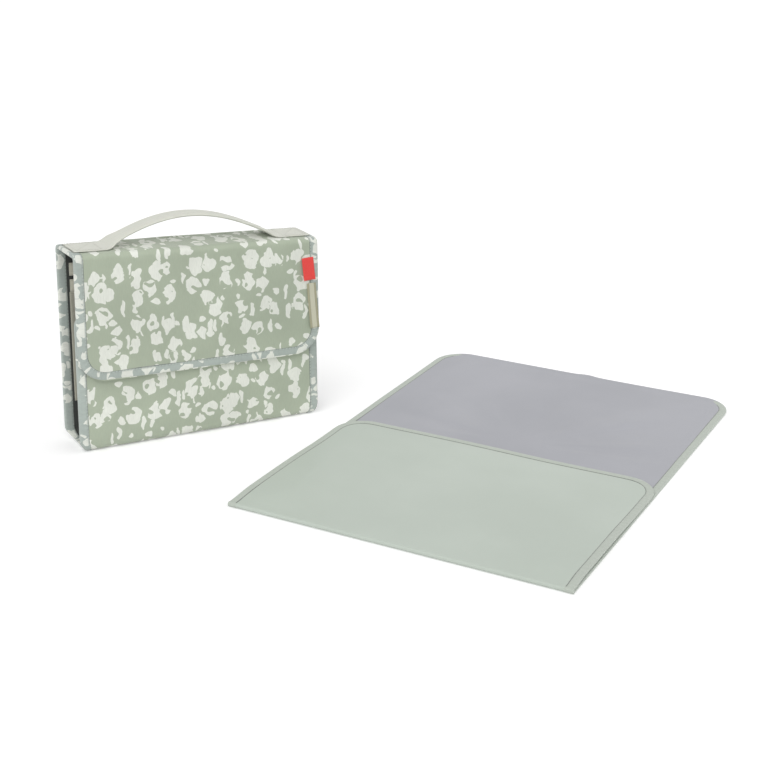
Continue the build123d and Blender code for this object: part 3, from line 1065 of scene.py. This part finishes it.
def handle_stitching(name, x_from, x_to):
    """A sewn box with a cross in it, through the flat end of the webbing."""
    margin = 2.5 * MM
    y0, y1 = strap_low[1] + margin, strap_high[1] - margin
    corners = [(x_from, y0), (x_to, y0), (x_to, y1), (x_from, y1), (x_from, y0), (x_to, y1)]
    stops = []
    for (ax, ay), (bx, by) in zip(corners, corners[1:]):
        for t in np.linspace(0, 1, 12, endpoint=False):
            stops.append((ax + (bx - ax) * t - pouch_mid, lid_along(ay + (by - ay) * t), 0, 0))
    thread = stitches(name, flap_skin, stops, 0, strap_high[2] - lid_z + 0.1 * MM,
                      FINISHES["cream_thread"], 3.2 * MM, 2.4 * MM, 0.3 * MM)
    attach(thread, "pouch_top")


handle_webbing()
handle_stitching("handle_stitching_left", strap_low[0] + 4 * MM, strap_low[0] + 30 * MM)
handle_stitching("handle_stitching_right", strap_right[0] - 30 * MM, strap_right[0] - 4 * MM)


# ---------------------------------------------------------------- labels and loose strips


def hanging_tag(name, node, tilt, lift, curl, material, seed, crosswise=18, lengthwise=26):
    """A folded woven tag sewn in at its top: soft lower fold, edges a little curled."""
    low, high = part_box(node)
    width, tall, thick = high[0] - low[0], high[2] - low[2], 0.9 * MM
    top_mid = np.array([(low[0] + high[0]) / 2 - pouch_mid, flap_skin.length - (high[2] - flap_low)])
    c, s = math.cos(tilt), math.sin(tilt)
    share = np.linspace(-1, 1, crosswise)
    down = np.linspace(0, 1, lengthwise)
    grid_u = share[None, :] * width / 2 + 0 * down[:, None]
    grid_v = down[:, None] * tall + 0 * share[None, :]
    u = top_mid[0] + grid_u * c - grid_v * s
    v = top_mid[1] + grid_u * s + grid_v * c
    cloth_height = flap_outside(u, v)
    stand = lift * down[:, None] ** 2 + curl * share[None, :] ** 4 * down[:, None]
    stand = stand + 0.15 * MM * ripple(u, v, 18 * MM, seed)
    pinch = np.sqrt(np.clip(1 - ((down[:, None] - 0.5) * 2) ** 16, 0.02, 1)) * np.sqrt(
        np.clip(1 - share[None, :] ** 16, 0.05, 1))
    base = cloth_height + 0.12 * MM + stand
    outer = flap_skin.at(u, v, base + thick * (0.5 + 0.5 * pinch))
    inner = flap_skin.at(u, v, base + thick * (0.5 - 0.5 * pinch))
    cloth = np.stack([grid_u.ravel(), grid_v.ravel()], 1)
    piece = new_piece(name, np.concatenate([outer.reshape(-1, 3), inner.reshape(-1, 3)]),
                      two_faced(lengthwise, crosswise)[0], {"cloth": np.concatenate([cloth, cloth])},
                      None, [material])
    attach(piece, "flap")
    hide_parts(node)


hanging_tag("red_tag", "red_label", -0.06, 1.2 * MM, 0.5 * MM, FINISHES["red"], 3)
hanging_tag("olive_ribbon_tag", "ribbon_label", -0.05, 1.6 * MM, 0.3 * MM, FINISHES["ribbon"],
            4, 10, 40)


# ---------------------------------------------------------------- inside the pouch


def flat_cloth(name, node, into, belly, material, top_slack=0.0, columns=33, rows=19):
    """A thin closed cloth on a lining, sewn at its sides and foot, easing away at its middle.

    into is the side of the lining it eases to; with top_slack its top edge hangs free.
    """
    low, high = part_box(node)
    mid_x, width, tall = (low[0] + high[0]) / 2, high[0] - low[0], high[2] - low[2]
    share, up = np.linspace(-1, 1, columns), np.linspace(0, 1, rows)[:, None]
    x = mid_x + share * width / 2 + 0 * up
    z = low[2] + up * tall + 0 * share
    hold = (1 - share ** 8) * np.sin(np.minimum(up, 0.55) / 0.55 * math.pi / 2)
    if not top_slack:
        hold = hold * (1 - swell(0.80, 0.93, up))
    ease = belly * hold + top_slack * (1 - share ** 4) * up ** 3
    ease = ease + 0.25 * belly * hold * ripple(x, z, 60 * MM, len(name))
    near, far = (low[1], high[1]) if into > 0 else (high[1], low[1])
    back = near + into * np.maximum(ease - 0.2 * MM, 0)
    face = far + into * ease
    places = [np.stack([x, y, z], -1).reshape(-1, 3) for y in (face, back)]
    places = slide_over(np.concatenate(places))
    faces = two_faced(rows, columns)[0]
    if into < 0:
        faces = [loop[::-1] for loop in faces]
    cloth = np.stack([x.ravel(), z.ravel()], 1)
    piece = new_piece(name, places, faces, {"cloth": np.concatenate([cloth, cloth])}, None, [material])
    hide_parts(node)
    return piece, (width, tall)


INNER_CLOTHS = [
    # name, node, into the pouch, belly, finish, slot, slack at the top, body
    ("mesh_pocket_cloth", "mesh_pocket", -1, 0.6, "mesh", "mesh", 0.0, "pouch_back"),
    ("diaper_pocket_cloth", "diaper_pocket", 1, 0.05, "pocket", "pocket_cloth", 0.0, "pouch_front"),
    ("diaper_pocket_hem_fold", "diaper_pocket_hem", 1, 0.05, "pocket", "pocket_cloth", 0.3,
     "pouch_front"),
    ("wipes_pocket_cloth", "wipes_pocket", 1, 1.2, "pocket", "pocket_cloth", 0.6, "pouch_front"),
    ("wipes_pocket_hem_fold", "wipes_pocket_hem", 1, 1.2, "pocket", "pocket_cloth", 0.6, "pouch_front"),
    ("zip_tape_lower_cloth", "zip_tape_lower", -1, 0.0, "zip_tape", "zip_tape", 0.0, "pouch_back"),
    ("zip_tape_upper_cloth", "zip_tape_upper", -1, 0.0, "zip_tape", "zip_tape", 0.0, "pouch_back"),
]
for name, node, into, belly, finish, slot, slack, body in INNER_CLOTHS:
    thin = node.startswith("zip") or node.endswith("hem")
    piece, cut = flat_cloth(name, node, into, belly * MM, FINISHES[finish], slack * MM,
                            rows=5 if thin else 19)
    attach(piece, body)


def pocket_frame():
    """The mesh pocket's tape: down one side, along the foot and up the other."""
    low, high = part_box("mesh_pocket_binding")
    band, lap, steps, step_run = 8 * MM, 4 * MM, 30, 7 * MM
    path = [(low[0], high[2]), (low[0], low[2]), (high[0], low[2]), (high[0], high[2])]
    stops = []
    legs = zip(path, path[1:], [(1, 0), (0, 1), (-1, 0)], [(1, 0), (1, 1), (-1, 1)])
    for (ax, az), (bx, bz), inward, at_corner in legs:
        for k in range(steps):
            t = k / steps
            dx, dz = inward if k else at_corner
            stops.append((ax + (bx - ax) * t, az + (bz - az) * t, dx, dz))
    stops.append((*path[-1], -1, 0))
    front, back = low[1], high[1]
    under = back - 0.9 * MM
    section = [(0, back), (0, front + 0.4 * MM), (0.35 * MM, front + 0.05 * MM),
               (1.2 * MM, front - 0.1 * MM), (band - 1.0 * MM, front - 0.1 * MM),
               (band - 0.2 * MM, front + 0.1 * MM), (band, under), (band - lap, under),
               (0.7 * MM, under), (0.6 * MM, back)]
    places, cloth, m = [], [], len(section)
    for k, (x, z, dx, dz) in enumerate(stops):
        for d, y in section:
            places.append((x + dx * d, y, z + dz * d))
            cloth.append((k * step_run, d))
    faces = tube_faces(0, len(stops), m) + tube_ends(0, len(stops), m)
    piece = new_piece("mesh_pocket_frame", slide_over(np.array(places)), faces,
                      {"cloth": cloth, "tape": cloth}, None, [FINISHES["pocket"]])
    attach(piece, "pouch_back")
    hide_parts("mesh_pocket_binding")


def zip_teeth():
    """Coil teeth: a rounded loop of nylon every pitch on each side, closed by the slider."""
    low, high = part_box("zip_coil")
    mid_z, mid_y = (low[2] + high[2]) / 2, (low[1] + high[1]) / 2
    r, pitch = 0.42 * MM, 1.9 * MM
    deep, half = (high[1] - low[1]) / 2 - r, (high[2] - low[2]) / 2
    places, faces, cloth = [], [], []
    ring, sides = 12, 6
    for side in (-1, 1):
        shift = 0 if side < 0 else pitch / 2
        for x in np.arange(low[0] + 1.2 * MM + shift, high[0] - 1.0 * MM, pitch):
            faces += tube_faces(len(places), ring, sides, closed=True)
            for i in range(ring):
                a = 2 * math.pi * i / ring
                out = np.array([0, math.sin(a), math.cos(a)])
                centre = np.array([x, mid_y + deep * math.sin(a),
                                   mid_z + half * (0.36 * side + 0.62 * math.cos(a))])
                for k in range(sides):
                    b = 2 * math.pi * k / sides
                    places.append(centre + r * (out * math.cos(b) + np.array(X) * math.sin(b)))
                    cloth.append((x, a * MM))
    piece = new_piece("zip_teeth", slide_over(np.array(places)), faces, {"cloth": cloth}, None,
                      [FINISHES["coil"]])
    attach(piece, "pouch_back")
    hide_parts("zip_coil")


def zip_end_stops():
    """Two crimped metal staples that end the coil."""
    low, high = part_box("zip_stops")
    places, faces, cloth = [], [], []
    mid_y, mid_z = (low[1] + high[1]) / 2, (low[2] + high[2]) / 2
    deep, tall, long = (high[1] - low[1]) / 2, (high[2] - low[2]) / 2, 1.5 * MM
    rings = [(-1, 0.72), (-0.85, 0.95), (-0.25, 1.0), (0, 0.93), (0.25, 1.0), (0.85, 0.95), (1, 0.72)]
    sides = 20
    for x in (low[0] + long, high[0] - long):
        base = len(places)
        faces += tube_faces(base, len(rings), sides) + tube_ends(base, len(rings), sides)
        for t, size in rings:
            for k in range(sides):
                a = 2 * math.pi * k / sides
                c, s = (math.copysign(abs(f(a)) ** 0.45, f(a)) for f in (math.cos, math.sin))
                places.append((x + t * long, mid_y + deep * size * c, mid_z + tall * size * s))
                cloth.append((x + t * long, a * MM))
    piece = new_piece("zip_end_staples", slide_over(np.array(places)), faces, {"cloth": cloth}, None,
                      [FINISHES["metal"]])
    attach(piece, "pouch_back")
    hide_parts("zip_stops")


pocket_frame()
zip_teeth()
zip_end_stops()
for node in ("zip_slider", "zip_puller"):
    mesh = frame["nodes"][node].data
    mesh.materials.clear()
    mesh.materials.append(FINISHES["metal"])


# ---------------------------------------------------------------- the mat

mat_x = np.array(joint("near_fold")["axis"], float)
mat_y = np.cross(Z, mat_x)
mat_left = node_span("mat_mid_binding_left", mat_x)[0]
mat_right = node_span("mat_mid_binding_right", mat_x)[1]
mat_width, mat_mid = mat_right - mat_left, (mat_left + mat_right) / 2
near_edge, seam_line = node_span("mat_mid_face", mat_y)
far_edge = node_span("mat_far_binding", mat_y)[1]
near_reach = node_span("mat_near_binding", mat_y)[1] - near_edge
mat_thick = node_span("mat_mid_backing", Z)[1] - node_span("mat_mid_face", Z)[0]
mat_low = node_span("mat_mid_face", Z)[0]
mat_top = mat_low + mat_thick
near_low = node_span("mat_near_backing", Z)[0]
near_top = node_span("mat_near_face", Z)[1]
mat_origin = mat_mid * mat_x
mat_corner = 35 * MM
mat_band, mat_stand, mat_inset = 9 * MM, 0.25 * MM, 0.5 * MM
mat_half = mat_width / 2


class FlatSkin(Skin):
    """A level skin at one height, along a straight line."""

    def __init__(self, start, end, height):
        self.settle = on_floor
        self.origin, self.side, self.forward = mat_origin, mat_x, mat_y
        self._set_line(np.stack([np.linspace(start, end, 6), np.full(6, height)], 1), 1)


base_skin = FlatSkin(near_edge, far_edge, mat_top)
near_skin = FlatSkin(near_edge, near_edge + near_reach, near_top)


def base_lift(u, v):
    """How far the mat stands off the floor: a soft wave on the far part's right, a crease at its end."""
    far = swell(0.27, 0.40, v)
    wave = 0.6 * MM * swell(0.06, mat_half, u) * far
    crease = 1.3 * MM * np.exp(-((u - 0.004) / 0.011) ** 2) * swell(0.36, 0.49, v)
    return wave + crease + 0.35 * MM * (1 + ripple(u, v, 230 * MM, 3)) * swell(0.252, 0.33, v)


def base_rays(u, v):
    """Soft ridges that fan out from where the mat was folded crosswise."""
    du, dv = u - 0.01, v - 0.275
    angle, away = np.arctan2(dv, du), np.hypot(du, dv)
    fan = 0.6 * np.sin(angle * 7.0 + 0.8) + 0.8 * np.sin(angle * 13.0 + 2.1)
    fan = fan + 0.35 * np.sin(angle * 22.0)
    fade = swell(0.015, 0.09, away) * (1 - swell(0.12, 0.21, away))
    fade = fade * (0.75 + 0.5 * ripple(u, v, 140 * MM, 17))
    inside = swell(shoulder, 34 * MM, np.minimum(mat_half - abs(u), 0.5 - v))
    return 1.5 * MM * np.tanh(1.3 * fan) * fade * inside * swell(0.250, 0.29, v)


def base_outside(u, v):
    puff = crown(mat_half, 0, None, 0.5 * MM, 12 * MM)(u, v) * swell(0.250, 0.27, v)
    return base_lift(u, v) + puff + np.maximum(base_rays(u, v), -1.2 * MM)


def base_inside(u, v):
    return -base_lift(u, v)


def near_lift(u, v):
    """The folded-over part: lies on the middle one, and gapes at its right side near the fold."""
    gape = 5.5 * MM * swell(0.075, mat_half, u) * swell(0.0, 0.045, v) * (1 - swell(0.06, 0.17, v))
    left = 2.6 * MM * swell(0.10, mat_half, -u) * swell(0.0, 0.05, v) * (1 - swell(0.07, 0.18, v))
    rest = 0.8 * MM * (1 + ripple(u, v, 210 * MM, 7)) * swell(0.0, 0.06, v)
    most = 2.1 * MM       # more would go under the floor when this part is opened out
    return most * np.tanh((gape + left + rest) / most)


def near_outside(u, v):
    edge = np.minimum(mat_half - abs(u), near_reach - v)
    puff = 0.9 * MM * swell(shoulder, 34 * MM, edge)
    crease = -0.9 * MM * np.exp(-((u + 0.008 - 0.12 * v) / 0.012) ** 2)
    crease = crease * swell(0.0, 0.02, v) * (1 - swell(0.07, 0.16, v))
    waves = 0.45 * MM * ripple(u, v, 95 * MM, 12) * swell(shoulder, 34 * MM, np.minimum(edge, v))
    return near_lift(u, v) + puff * swell(0, 0.02, v) + crease + waves


def near_inside(u, v):
    return -near_lift(u, v)


def mat_panel(name, skin, corner, outside, inside, materials, shift, loose_from):
    rows = edge_stops(mat_width - 2 * mat_inset, 0, skin.length - mat_inset, corner, 5 * MM)
    piece, (u, v) = quilt(name, skin, rows, 67, mat_thick, outside, inside, materials, shift)
    held = (abs(u) > mat_half - held_edge) | (v < loose_from) | (v > skin.length - held_edge)
    corner_u = np.maximum(abs(u) - (mat_half - corner), 0)
    corner_v = np.maximum(v - (skin.length - corner), 0)
    held |= np.hypot(corner_u, corner_v) > corner - held_edge
    plump(piece, held, 2.0, 0.6 * MM, 0.0)
    return piece


base_panel = mat_panel("mat_middle_and_far_panel", base_skin, mat_corner, base_outside, base_inside,
                       [FINISHES["mat_back"], FINISHES["mat_face"]], (0.2, 0.1),
                       seam_line - near_edge + 6 * MM)
near_panel = mat_panel("mat_folded_panel", near_skin, mat_corner, near_outside, near_inside,
                       [FINISHES["mat_face"], FINISHES["mat_back"]], (1.2, 0.7), 12 * MM)


def bend_far(piece):
    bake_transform(piece)


def press_near(piece):
    """Hangs the folded-over part on the near fold's body, with a mesh of its own."""
    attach(piece, "mat_near")
    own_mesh(piece)


rounder(base_panel)
bend_far(base_panel)
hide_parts("mat_mid_face", "mat_mid_wadding", "mat_mid_backing", "mat_far_face",
            "mat_far_wadding", "mat_far_backing")
rounder(near_panel)
press_near(near_panel)
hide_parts("mat_near_face", "mat_near_wadding", "mat_near_backing")


def fold_strip(name, u_line, material_pair, outer_more, inner_more):
    """The turned cloth at the near fold: a half round from under the middle part to on top."""
    centre = (mat_low + near_top) / 2
    outer_r, inner_r = (near_top - mat_low) / 2 + outer_more, (near_low - mat_top) / 2
    inner_r = max(0.05 * MM, inner_r - inner_more)
    turns, columns = 14, len(u_line)
    places, cloth = [], []
    for r in (outer_r, inner_r):
        for i in range(turns + 1):
            a = math.pi * i / turns
            for u in u_line:
                fwd = near_edge - r * math.sin(a)
                z = centre - r * math.cos(a)
                places.append(mat_origin + mat_x * u + mat_y * fwd + np.array([0, 0, z]))
                cloth.append((u + 1.2, 0.7 - (near_top - mat_low) / 2 * (math.pi - a)))
    faces, slots, rim = two_faced(turns + 1, columns)
    maps = {"cloth": cloth, "tape": cloth}
    piece = new_piece(name, places, faces, maps, slots, material_pair)
    sharp = rim_edges(piece.data, rim, (turns + 1) * columns)
    mark_edges(piece.data, "sharp_edge", "BOOLEAN", sharp)
    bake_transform(piece)
    return piece


u_fold = np.linspace(-mat_half + mat_inset, mat_half - mat_inset, 57)
fold_strip("mat_near_fold", u_fold, [FINISHES["mat_face"], FINISHES["mat_back"]], 0, 0)
for side, word in ((-1, "left"), (1, "right")):
    u_edge = side * np.linspace(mat_half - mat_band, mat_half, 8)
    fold_strip("mat_near_fold_tape_" + word, u_edge if side > 0 else u_edge[::-1],
               [FINISHES["mat_tape"], FINISHES["mat_tape"]], mat_stand, mat_stand / 2)

base_tape = taped_edge("mat_base_tape", base_skin,
                       outline(mat_width, 0, base_skin.length, mat_corner, 6 * MM),
                       folded_section(mat_band, mat_thick, mat_stand), FINISHES["mat_tape"],
                       height=base_lift)
bend_far(base_tape)
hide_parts("mat_mid_binding_left", "mat_mid_binding_right", "mat_far_binding")
near_tape = taped_edge("mat_folded_tape", near_skin,
                       outline(mat_width, 0, near_skin.length, mat_corner, 6 * MM),
                       folded_section(mat_band, mat_thick, mat_stand), FINISHES["mat_tape"],
                       height=near_lift)
press_near(near_tape)
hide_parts("mat_near_binding")


# ---------------------------------------------------------------- floor, light and camera


def pale_floor():
    size = 20.0
    floor = new_piece("floor", [(-size, -size, 0), (size, -size, 0), (size, size, 0), (-size, size, 0)],
                      [(0, 1, 2, 3)], smooth=False)
    material = bpy.data.materials.new("white floor")
    material.use_nodes = True
    g = Graph(material.node_tree)
    shader = next(n for n in material.node_tree.nodes if n.type == "BSDF_PRINCIPLED")
    shader.inputs["Base Color"].default_value = (0.90, 0.90, 0.90, 1)
    shader.inputs["Roughness"].default_value = 0.9
    shader.inputs["Specular IOR Level"].default_value = 0.0
    shader.inputs["Emission Color"].default_value = (1, 1, 1, 1)
    rays = g.add("ShaderNodeLightPath").outputs
    seen = g.calc("MAXIMUM", rays["Is Camera Ray"], g.calc("MAXIMUM", rays["Is Glossy Ray"],
                                                           rays["Is Transmission Ray"]))
    material.node_tree.links.new(g.calc("MULTIPLY", seen, 0.22), shader.inputs["Emission Strength"])
    floor.data.materials.append(material)


def studio_light():
    world = bpy.data.worlds.new("white studio")
    bpy.context.scene.world = world
    world.use_nodes = True
    g = Graph(world.node_tree)
    background = next(n for n in world.node_tree.nodes if n.type == "BACKGROUND")
    background.inputs["Color"].default_value = (1, 1, 1, 1)
    rays = g.add("ShaderNodeLightPath").outputs
    seen = g.calc("MAXIMUM", rays["Is Camera Ray"], rays["Is Glossy Ray"])
    world.node_tree.links.new(g.ramp(seen, 0.0, 1.0, 0.62, 1.0), background.inputs["Strength"])
    lamps = (("key", (-1.5, -1.9, 2.6), 55, 1.25), ("fill", (2.2, -1.9, 2.0), 80, 0.35))
    for name, place, soft, power in lamps:
        light = bpy.data.lights.new(name, "SUN")
        light.energy, light.angle = power, math.radians(soft)
        lamp = bpy.data.objects.new(name, light)
        bpy.context.scene.collection.objects.link(lamp)
        lamp.rotation_euler = (-mathutils.Vector(place)).to_track_quat("-Z", "Y").to_euler()


def camera():
    view = bpy.data.cameras.new("camera")
    view.sensor_width = 36
    view.lens = 70.87
    stand = bpy.data.objects.new("camera", view)
    bpy.context.scene.collection.objects.link(stand)
    stand.location = (-0.6771, -1.2901, 0.6723)
    stand.rotation_euler = (math.radians(90 - 21.66), 0, math.radians(-24.5))
    bpy.context.scene.camera = stand


pale_floor()
studio_light()
camera()
bpy.context.scene.view_settings.view_transform = "Standard"
